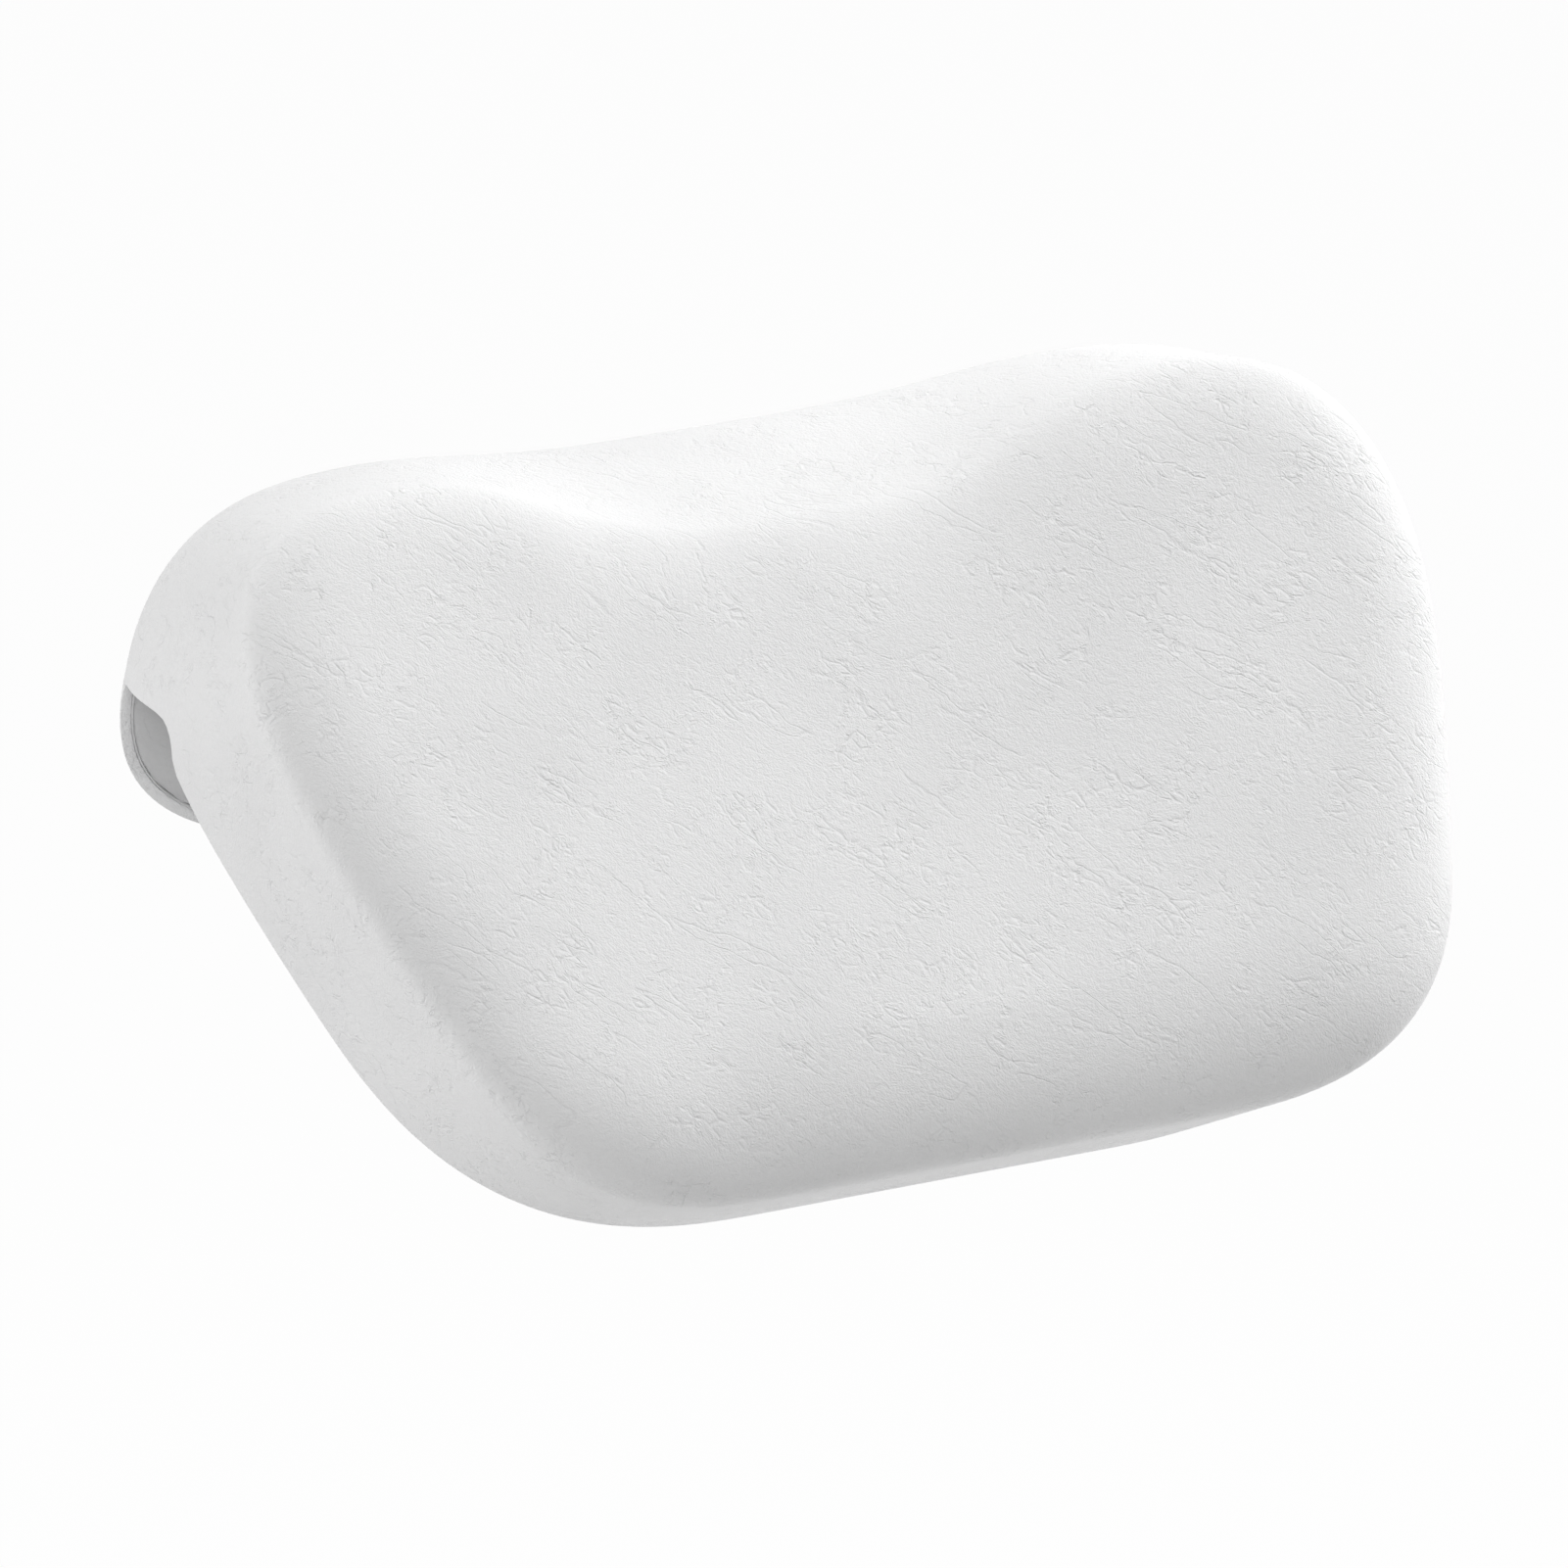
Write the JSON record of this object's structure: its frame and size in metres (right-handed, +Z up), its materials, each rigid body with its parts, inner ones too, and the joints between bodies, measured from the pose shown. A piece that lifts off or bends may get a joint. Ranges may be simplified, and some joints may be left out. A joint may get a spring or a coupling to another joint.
{
  "type": "bath pillow",
  "caption": "White moulded foam bath pillow: a leaning head rest with a dipped neck scoop and rounded ears, a rear hook for the tub rim, and suction cups on its back.",
  "frame": {"origin": "the middle of the flat seat under the hook, which lies on the rim of the tub", "axes": "+X across the head rest, +Y away from the bather and out over the rim, +Z up"},
  "size_m": [0.3158, 0.2049, 0.1681],
  "materials": {
    "skin": "white polyurethane skin with an embossed leather grain, satin",
    "foam": "cream open-cell polyurethane foam, matt",
    "stiffener": "grey polypropylene sheet",
    "socket": "white moulded plastic",
    "cup": "clear soft vinyl, glossy"
  },
  "bodies": {
    "pillow": {"outer_skin": "skin", "channel_skin": "skin", "foam_core": "foam", "hook_stiffener": "stiffener", "cup_socket_1": "socket", "cup_socket_2": "socket", "cup_socket_3": "socket", "cup_socket_4": "socket"},
    "cup_1": {"suction_cup_1": "cup"},
    "cup_2": {"suction_cup_2": "cup"},
    "cup_3": {"suction_cup_3": "cup"},
    "cup_4": {"suction_cup_4": "cup"}
  },
  "joints": [
    {"name": "cup_spin_1", "type": "hinge", "parent": "pillow", "child": "cup_1", "pos_m": [-0.065, -0.0887, -0.08893], "axis": [0, 0.7373, -0.6756], "continuous": true},
    {"name": "cup_spin_2", "type": "hinge", "parent": "pillow", "child": "cup_2", "pos_m": [0.065, -0.0887, -0.08893], "axis": [0, 0.7373, -0.6756], "continuous": true},
    {"name": "cup_spin_3", "type": "hinge", "parent": "pillow", "child": "cup_3", "pos_m": [-0.065, -0.05492, -0.05207], "axis": [0, 0.7373, -0.6756], "continuous": true},
    {"name": "cup_spin_4", "type": "hinge", "parent": "pillow", "child": "cup_4", "pos_m": [0.065, -0.05492, -0.05207], "axis": [0, 0.7373, -0.6756], "continuous": true}
  ]
}
